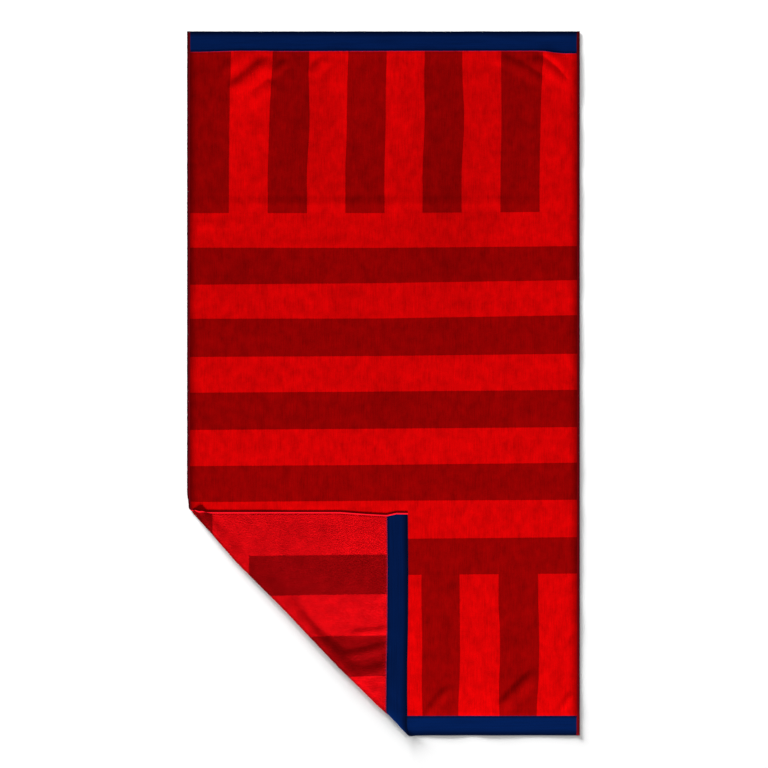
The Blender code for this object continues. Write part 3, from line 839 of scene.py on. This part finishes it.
def make_loops(name, roots, draw, material):
    """Yarn loops: a small arch of five rings over each root, turned and leaning a little at random."""
    count = len(roots)
    yaw = math.pi / 2 + draw.normal(0.0, LOOP_TURN, count)
    run = np.column_stack([np.cos(yaw), np.sin(yaw)])[:, None, None, :]
    aside = np.column_stack([-np.sin(yaw), np.cos(yaw)])[:, None, None, :]
    lean = draw.normal(0.0, LOOP_LEAN, (count, 1, 1, 2))
    tall = LOOP_HEIGHT * draw.uniform(*LOOP_TALLNESS, (count, 1, 1))
    from_hem = clip_smooth((roots[:, 0] - CORNER[0] - LOOP_START) / LOOP_RISE)
    tall *= blend(LOWEST_LOOP, 1.0, from_hem)[:, None, None]

    angle = np.arange(LOOP_SIDES) * 2.0 * math.pi / LOOP_SIDES
    along, lift = LOOP_RINGS["along"][:, None], LOOP_RINGS["lift"][:, None]
    turned = LOOP_RINGS["turned"][:, None] * math.pi / 2
    onward = along * LOOP_SPREAD + np.sign(along) * LOOP_THICKNESS * np.cos(angle) * np.cos(turned)
    sideways = LOOP_THICKNESS * np.sin(angle) * np.ones_like(along)
    cloth = roots[:, None, None, :] + onward[..., None] * run + sideways[..., None] * aside
    cloth = cloth + lift[..., None] * lean
    rise = LOOP_FLATNESS * LOOP_THICKNESS * np.cos(angle) * np.sin(turned)
    height = LOOP_SUNK - lift * (tall + LOOP_SUNK) - rise

    points = on_back(cloth.reshape(-1, 2), height.ravel())
    faces = tube_faces(count, len(LOOP_RINGS), LOOP_SIDES)
    mesh = new_mesh(name, points, faces.tolist(), smooth=False)
    in_loop = len(LOOP_RINGS) * LOOP_SIDES
    root = np.repeat(roots, in_loop, axis=0)
    shade = np.repeat(back_shade(roots), in_loop)
    add_cloth_maps(mesh, root, from_end(root) - BACK_HEADING, shade)
    return new_piece(name, mesh, "towelling", material)


def make_all_loops(material):
    """The flap's loops. They are light where the face is dark, because the two reds change places."""
    draw = np.random.RandomState(LOOP_SEED)
    roots = loop_roots(draw)
    light = is_dark(roots)
    upper = roots[:, 0] < CORNER[0] + LOOP_SPLIT
    return [
        make_loops("upper_light_loops", roots[light & upper], draw, material),
        make_loops("lower_light_loops", roots[light & ~upper], draw, material),
        make_loops("dark_loops", roots[~light], draw, material),
    ]


# Materials.

LIGHT_RED = (0.530, 0.0004, 0.0008)
DARK_RED = (0.228, 0.0003, 0.0004)
LOOP_LIGHT_RED = (0.745, 0.0031, 0.0066)
LOOP_DARK_RED = (0.333, 0.0014, 0.0029)
NAVY = (0.0004, 0.0096, 0.0660)
# HEM_RED is the hem on the face side: partly its own red, and partly painted shade on its turned edge.
# HEM_BACK_RED is the same hem where it shows on the flap.
HEM_RED = (0.110, 0.0012, 0.0034)
HEM_BACK_RED = (0.900, 0.0070, 0.0170)
THREAD_RED = (0.50, 0.020, 0.045)
DARK_THREAD_RED = (0.045, 0.0010, 0.0030)
PILE_EDGE_RED = (0.66, 0.010, 0.030)

# The stripes' borders: how fine their fuzz is, how much they wobble and how far their dark line
# reaches, in stripes, and how much darker that line is. The line is painted shade in the groove where
# two stripes meet.
BORDER_FUZZ = 900.0
BORDER_WOBBLE = 0.024
BORDER_LINE = 0.022
BORDER_DIM = 0.10
# Lines beside the border of the pile, each with its distance into the pile, its reach and its depth:
# the light one at the pile's edge, and the dark one in the heading, which is painted shade where the
# heading lies below the pile.
PILE_EDGE = (0.0, 0.0026, 0.55)
HEADING_LINE = (-0.0030, 0.0045, 0.60)
# How dark the painted shade makes the heading at its outer edge, where it turns down, and how far
# in it gets to its full brightness.
HEADING_EDGE_SHADE = 0.08
HEADING_EDGE = 0.0160
# How uneven the pile is, for the group's inputs, and the strength and distance of each bump.
VELOUR_TONES = {"Streaks": 0.60, "Mottling": 0.75, "Grain": 0.40, "Grain Scale": 450.0}
TERRY_TONES = {"Streaks": 0.15, "Mottling": 0.60, "Grain": 0.15, "Grain Scale": 420.0}
VELOUR_BUMP = (0.5, 0.0004)
TERRY_BUMP = (0.3, 0.0004)
LOOP_BUMP = (0.15, 0.0003)
WEAVE_BUMP = (0.6, 0.0003)
# How fine each pattern is across and along the towel, counted to the metre: the pile's streaks and
# mottling, the waver and the thicker yarns of the ribs, and their single yarns.
STREAK_SCALE = (420.0, 22.0, 1.0)
MOTTLING_SCALE = (38.0, 30.0, 1.0)
WAVER_SCALE = (30.0, 90.0, 1.0)
THICK_YARN_SCALE = (9.0, 330.0, 1.0)
YARN_SCALE = (900.0, 500.0, 1.0)
# How much the streaks and the single yarns add to the height of the bumps.
STREAK_RELIEF = 0.6
YARN_RELIEF = 0.4
# How fine the yarn grain of a hem and of a thread is, and how strongly it shows.
HEM_GRAIN = (300.0, 900.0, 1.0)
THREAD_GRAIN = 1500.0
YARN_CONTRAST = 0.9


def feed(tree, socket, value):
    """Links an output to a socket, or puts a colour or a number on it."""
    if isinstance(value, bpy.types.NodeSocket):
        tree.links.new(value, socket)
    elif isinstance(value, tuple):
        socket.default_value = (*value, 1.0)
    else:
        socket.default_value = value


def set_inputs(tree, node, values):
    """Feeds each input that the values name."""
    for label, value in values.items():
        feed(tree, node.inputs[label], value)


def math_node(tree, operation, *values):
    """A Math node whose inputs are numbers or sockets, and its output."""
    made = tree.nodes.new("ShaderNodeMath")
    made.operation = operation
    for socket, value in zip(made.inputs, values):
        feed(tree, socket, value)
    return made.outputs[0]


def mix_colours(tree, factor, first, second, blend_type="MIX"):
    """A Mix node on two colours, each a tuple or a socket, and its output.

    The colours have inputs 6 and 7 and output 2, because a Mix node also has sockets for other kinds.
    """
    made = tree.nodes.new("ShaderNodeMix")
    made.data_type = "RGBA"
    made.blend_type = blend_type
    for slot, value in ((0, factor), (6, first), (7, second)):
        feed(tree, made.inputs[slot], value)
    return made.outputs[2]


def uv_place(tree, name, scale=(1.0, 1.0, 1.0)):
    """A UV map's vector, scaled."""
    source = tree.nodes.new("ShaderNodeUVMap")
    source.uv_map = name
    mapping = tree.nodes.new("ShaderNodeMapping")
    mapping.inputs["Scale"].default_value = scale
    tree.links.new(source.outputs[0], mapping.inputs[0])
    return mapping.outputs[0]


def uv_parts(tree, name):
    """The two numbers of a UV map."""
    split = tree.nodes.new("ShaderNodeSeparateXYZ")
    tree.links.new(uv_place(tree, name), split.inputs[0])
    return split.outputs[0], split.outputs[1]


def noise(tree, vector, detail=2.0, roughness=0.5, scale=1.0, dimensions="2D"):
    """A Noise node's field, from 0 to 1."""
    made = tree.nodes.new("ShaderNodeTexNoise")
    made.noise_dimensions = dimensions
    set_inputs(tree, made, {"Vector": vector, "Scale": scale, "Detail": detail, "Roughness": roughness})
    return made.outputs["Fac"]


def add_centred(tree, field, amount, total):
    """The total, and the amount times how far a field from 0 to 1 is above its middle."""
    return math_node(tree, "MULTIPLY_ADD", math_node(tree, "SUBTRACT", field, 0.5), amount, total)


def faded(tree, distance, reach):
    """1 at no distance, falling evenly to 0 at the reach."""
    share = math_node(tree, "SUBTRACT", 1.0, math_node(tree, "DIVIDE", distance, reach))
    return math_node(tree, "MAXIMUM", share, 0.0)


def new_group(name, inputs, outputs):
    """A shader node group with float inputs and the outputs named, and its two end nodes."""
    group = bpy.data.node_groups.new(name, "ShaderNodeTree")
    for label, value in inputs.items():
        socket = group.interface.new_socket(name=label, in_out="INPUT", socket_type="NodeSocketFloat")
        socket.default_value = value
    for label in outputs:
        group.interface.new_socket(name=label, in_out="OUTPUT", socket_type="NodeSocketFloat")
    return group, group.nodes.new("NodeGroupInput"), group.nodes.new("NodeGroupOutput")


def stripe_group():
    """1 where the face is woven in the darker red, and a mask along the borders of the stripes."""
    group, _, end = new_group("woven_stripes", {}, ("Dark", "Border"))
    fuzz = noise(group, uv_place(group, "cloth"), scale=BORDER_FUZZ, detail=1.0)
    wobble = math_node(group, "MULTIPLY_ADD", fuzz, BORDER_WOBBLE, -BORDER_WOBBLE / 2)
    stripes, bands = (math_node(group, "ADD", count, wobble) for count in uv_parts(group, "stripes"))
    long_dark = math_node(group, "LESS_THAN", math_node(group, "FLOORED_MODULO", stripes, 2.0), 1.0)
    cross_dark = math_node(group, "GREATER_THAN", math_node(group, "FLOORED_MODULO", bands, 2.0), 1.0)
    past = math_node(group, "GREATER_THAN", bands, 0.0)
    before = math_node(group, "LESS_THAN", bands, LAST_BAND)
    banded = math_node(group, "MULTIPLY", past, before)
    gap = math_node(group, "SUBTRACT", cross_dark, long_dark)
    group.links.new(math_node(group, "MULTIPLY_ADD", gap, banded, long_dark), end.inputs["Dark"])
    # Borders lie at whole counts, and this Math node gives the distance to the nearest one.
    lines = []
    for count, shown in ((stripes, math_node(group, "SUBTRACT", 1.0, banded)), (bands, banded)):
        line = faded(group, math_node(group, "PINGPONG", count, 0.5), BORDER_LINE)
        lines.append(math_node(group, "MULTIPLY", line, shown))
    group.links.new(math_node(group, "MAXIMUM", *lines), end.inputs["Border"])
    return group


def pile_tone_group():
    """Unevenness of sheared or looped pile: a brightness near 1, and a height for the bump."""
    group, start, end = new_group("pile_tone", VELOUR_TONES, ("Tone", "Height"))
    streaks = noise(group, uv_place(group, "cloth", STREAK_SCALE), detail=3.0, roughness=0.6)
    mottling = noise(group, uv_place(group, "cloth", MOTTLING_SCALE), detail=4.0, roughness=0.62)
    grain = noise(group, uv_place(group, "cloth"), scale=start.outputs["Grain Scale"])
    tone = 1.0
    for field, label in ((streaks, "Streaks"), (mottling, "Mottling"), (grain, "Grain")):
        tone = add_centred(group, field, start.outputs[label], tone)
    group.links.new(tone, end.inputs["Tone"])
    group.links.new(math_node(group, "MULTIPLY_ADD", streaks, STREAK_RELIEF, grain), end.inputs["Height"])
    return group


def rib_group():
    """Plain weave with fine ribs across the towel: a brightness near 1, and a height."""
    inputs = {"Pitch": 0.0021, "Waver": 0.0009, "Depth": 0.25, "Streaks": 0.7, "Yarn": 0.35}
    group, start, end = new_group("woven_ribs", inputs, ("Tone", "Height"))
    given = start.outputs
    waver = noise(group, uv_place(group, "cloth", WAVER_SCALE))
    along = math_node(group, "MULTIPLY_ADD", waver, given["Waver"], uv_parts(group, "cloth")[1])
    angle = math_node(group, "MULTIPLY", along, 2.0 * math.pi)
    rib = math_node(group, "SINE", math_node(group, "DIVIDE", angle, given["Pitch"]))
    streaks = noise(group, uv_place(group, "cloth", THICK_YARN_SCALE), detail=3.0, roughness=0.6)
    yarn = noise(group, uv_place(group, "cloth", YARN_SCALE), detail=1.0)
    tone = math_node(group, "MULTIPLY_ADD", rib, math_node(group, "MULTIPLY", given["Depth"], 0.5), 1.0)
    tone = add_centred(group, streaks, given["Streaks"], tone)
    tone = add_centred(group, yarn, given["Yarn"], tone)
    group.links.new(tone, end.inputs["Tone"])
    group.links.new(math_node(group, "MULTIPLY_ADD", yarn, YARN_RELIEF, rib), end.inputs["Height"])
    return group


def new_material(name, roughness, sheen, tint):
    """A cloth material: a rough Principled shader with hardly any gloss, and a sheen for its nap."""
    material = bpy.data.materials.new(name)
    material.use_nodes = True
    tree = material.node_tree
    shader = tree.nodes["Principled BSDF"]
    set_inputs(tree, shader, {
        "Roughness": roughness, "Specular IOR Level": 0.01,
        "Sheen Weight": sheen, "Sheen Roughness": 0.5, "Sheen Tint": tint,
    })
    return material, tree, shader


def use_group(tree, group, values):
    """A node group placed in a material, with its own values on the inputs named."""
    made = tree.nodes.new("ShaderNodeGroup")
    made.node_tree = group
    set_inputs(tree, made, values)
    return made.outputs


def toned(tree, colour, tone):
    """A colour times a brightness."""
    grey = tree.nodes.new("ShaderNodeCombineColor")
    for channel in grey.inputs:
        tree.links.new(tone, channel)
    return mix_colours(tree, 1.0, colour, grey.outputs[0], "MULTIPLY")


def dress(tree, shader, colour, tone, height, bump):
    """Gives the shader a colour times a brightness, and a bump of this strength and distance."""
    relief = tree.nodes.new("ShaderNodeBump")
    strength, distance = bump
    set_inputs(tree, relief, {"Strength": strength, "Distance": distance, "Height": height})
    tree.links.new(toned(tree, colour, tone), shader.inputs["Base Color"])
    tree.links.new(relief.outputs[0], shader.inputs["Normal"])


def attribute(tree, name):
    """A number that the mesh holds for each point."""
    source = tree.nodes.new("ShaderNodeAttribute")
    source.attribute_name = name
    return source.outputs["Fac"]


def near_border(tree, middle, reach, most):
    """A mask that is most at a distance from the pile's border, and fades to 0 over reach."""
    off = math_node(tree, "ABSOLUTE", math_node(tree, "SUBTRACT", attribute(tree, "border"), middle))
    return math_node(tree, "MULTIPLY", faded(tree, off, reach), most)


def pile_material(name, groups, reds, reverse, tones, bump):
    """Striped pile in a light and a dark red. On the back of the cloth the two change places."""
    material, tree, shader = new_material(name, roughness=0.95, sheen=0.10, tint=(1.0, 0.02, 0.03))
    stripes = use_group(tree, groups["stripes"], {})
    pile = use_group(tree, groups["pile"], tones)
    colour = mix_colours(tree, stripes["Dark"], *(reds[::-1] if reverse else reds))
    edge = near_border(tree, *PILE_EDGE)
    if not reverse:
        # On the face, only the pile next to the top heading has a light edge.
        upper = math_node(tree, "GREATER_THAN", uv_parts(tree, "cloth")[1], LENGTH / 2)
        edge = math_node(tree, "MULTIPLY", edge, upper)
    colour = mix_colours(tree, edge, colour, PILE_EDGE_RED)
    # The stripes' borders get their painted shade, and the shade attribute adds each point's painted shade
    # and light and its soft patches.
    tone = math_node(tree, "MULTIPLY_ADD", stripes["Border"], -BORDER_DIM, pile["Tone"])
    tone = math_node(tree, "MULTIPLY", tone, attribute(tree, "shade"))
    dress(tree, shader, colour, tone, pile["Height"], bump)
    return material


def heading_material(groups):
    """Navy plain weave, with painted shade at its outer edge and in a line beside the pile."""
    material, tree, shader = new_material(
        "navy_heading", roughness=0.9, sheen=0.12, tint=(0.10, 0.25, 1.0)
    )
    ribs = use_group(tree, groups["ribs"], {})
    middle = math_node(tree, "SUBTRACT", uv_parts(tree, "cloth")[1], LENGTH / 2)
    inward = math_node(tree, "SUBTRACT", LENGTH / 2, math_node(tree, "ABSOLUTE", middle))
    share = math_node(tree, "DIVIDE", inward, HEADING_EDGE)
    share = math_node(tree, "MINIMUM", math_node(tree, "MAXIMUM", share, 0.0), 1.0)
    shade = math_node(tree, "MULTIPLY_ADD", share, 1.0 - HEADING_EDGE_SHADE, HEADING_EDGE_SHADE)
    shade = math_node(tree, "SUBTRACT", shade, near_border(tree, *HEADING_LINE))
    shade = math_node(tree, "MULTIPLY", shade, attribute(tree, "shade"))
    tone = math_node(tree, "MULTIPLY", ribs["Tone"], shade)
    dress(tree, shader, NAVY, tone, ribs["Height"], WEAVE_BUMP)
    return material


def yarn_material(name, colour, scale=None):
    """One colour with a fine yarn grain: sewn cloth where a scale is given, and else thread."""
    material, tree, shader = new_material(name, roughness=0.85, sheen=0.10, tint=(1.0, 0.10, 0.15))
    if scale is None:
        place = tree.nodes.new("ShaderNodeTexCoord").outputs["Object"]
        grain = noise(tree, place, scale=THREAD_GRAIN, dimensions="3D")
        shade = 1.0
    else:
        grain = noise(tree, uv_place(tree, "cloth", scale))
        # A hem's shade attribute holds its painted shade.
        shade = attribute(tree, "shade")
    tone = math_node(tree, "MULTIPLY", add_centred(tree, grain, YARN_CONTRAST, 1.0), shade)
    dress(tree, shader, colour, tone, grain, WEAVE_BUMP)
    return material


def make_materials():
    """The towel's materials, by the cloth or thread that each is for."""
    groups = {"stripes": stripe_group(), "pile": pile_tone_group(), "ribs": rib_group()}
    face_reds = (LIGHT_RED, DARK_RED)
    back_reds = (LOOP_LIGHT_RED, LOOP_DARK_RED)
    return {
        "velour": pile_material("velour_face", groups, face_reds, False, VELOUR_TONES, VELOUR_BUMP),
        "terry": pile_material("terry_back", groups, back_reds, True, TERRY_TONES, TERRY_BUMP),
        "loops": pile_material("terry_loops", groups, back_reds, True, TERRY_TONES, LOOP_BUMP),
        "heading": heading_material(groups),
        "hem": yarn_material("hem_red", HEM_RED, HEM_GRAIN),
        "hem_back": yarn_material("hem_back_red", HEM_BACK_RED, HEM_GRAIN),
        "thread": yarn_material("red_thread", THREAD_RED),
        "dark_thread": yarn_material("dark_red_thread", DARK_THREAD_RED),
    }


# Floor, light and camera.

FLOOR_REACH = 30.0
FLOOR_WHITE = (0.92, 0.92, 0.92)
SKY_WHITE = (1.0, 1.0, 1.0)
SKY_STRENGTH = 0.26
# The soft boxes: name, place, size and power, and whether the floor is all that each lights
# (INCLUDE) or the one thing that it doesn't (EXCLUDE).
LIGHTS = (
    ("key", (2.0, -11.6, 7.4), (3.6, 3.6), 3350.0, "EXCLUDE"),
    ("back", (-10.6, 14.6, 2.9), (14.0, 6.0), 18700.0, "INCLUDE"),
    ("above", (4.2, 4.2, 8.0), (3.0, 3.0), 260.0, "INCLUDE"),
)
VIEW_CENTRE = (0.0014, -0.0018)
VIEW_DISTANCE = 5.53


def make_floor():
    """A wide flat square at height 0."""
    corners = FLOOR_REACH * np.array([(-1, -1, 0), (1, -1, 0), (1, 1, 0), (-1, 1, 0)])
    mesh = new_mesh("floor", corners, [(0, 1, 2, 3)], smooth=False)
    floor = bpy.data.objects.new("floor", mesh)
    bpy.context.scene.collection.objects.link(floor)
    material = bpy.data.materials.new("pale_floor")
    material.use_nodes = True
    shader = material.node_tree.nodes["Principled BSDF"]
    finish = {"Base Color": FLOOR_WHITE, "Roughness": 0.9, "Specular IOR Level": 0.0}
    set_inputs(material.node_tree, shader, finish)
    mesh.materials.append(material)
    return floor


def make_light(name, place, size, power):
    """A soft box that faces the middle of the towel."""
    data = bpy.data.lights.new(name, "AREA")
    data.shape = "RECTANGLE"
    data.size, data.size_y = size
    data.energy = power
    light = bpy.data.objects.new(name, data)
    bpy.context.scene.collection.objects.link(light)
    light.location = place
    light.rotation_mode = "QUATERNION"
    light.rotation_quaternion = (-Vector(place)).to_track_quat("-Z", "Y")
    return light


def make_studio(floor):
    """A white sky, and the soft boxes with what each of them lights."""
    scene = bpy.context.scene
    world = bpy.data.worlds.new("studio")
    world.use_nodes = True
    sky = world.node_tree.nodes["Background"]
    set_inputs(world.node_tree, sky, {"Color": SKY_WHITE, "Strength": SKY_STRENGTH})
    scene.world = world
    scene.view_settings.view_transform = "Standard"
    for name, place, size, power, floor_state in LIGHTS:
        light = make_light(name, place, size, power)
        receivers = bpy.data.collections.new("lit_by_" + name)
        receivers.objects.link(floor)
        receivers.collection_objects[0].light_linking.link_state = floor_state
        light.light_linking.receiver_collection = receivers


def make_camera():
    """A long lens that looks straight down on the towel."""
    data = bpy.data.cameras.new("camera")
    data.lens = 100.0
    data.sensor_width = 36.0
    data.clip_end = 100.0
    camera = bpy.data.objects.new("camera", data)
    camera.location = (*VIEW_CENTRE, VIEW_DISTANCE)
    bpy.context.scene.collection.objects.link(camera)
    bpy.context.scene.camera = camera


def main():
    """The towel's pieces as one folded sheet, and the floor, light and camera round it."""
    finish = make_materials()
    sheet = make_sheet(finish["velour"], finish["terry"], finish["heading"])
    hems = [make_hem(*hem, finish["hem"], finish["hem_back"]) for hem in HEMS]
    stitches = make_all_stitches(finish["dark_thread"], finish["thread"])
    loops = make_all_loops(finish["loops"])
    make_studio(make_floor())
    make_camera()


main()
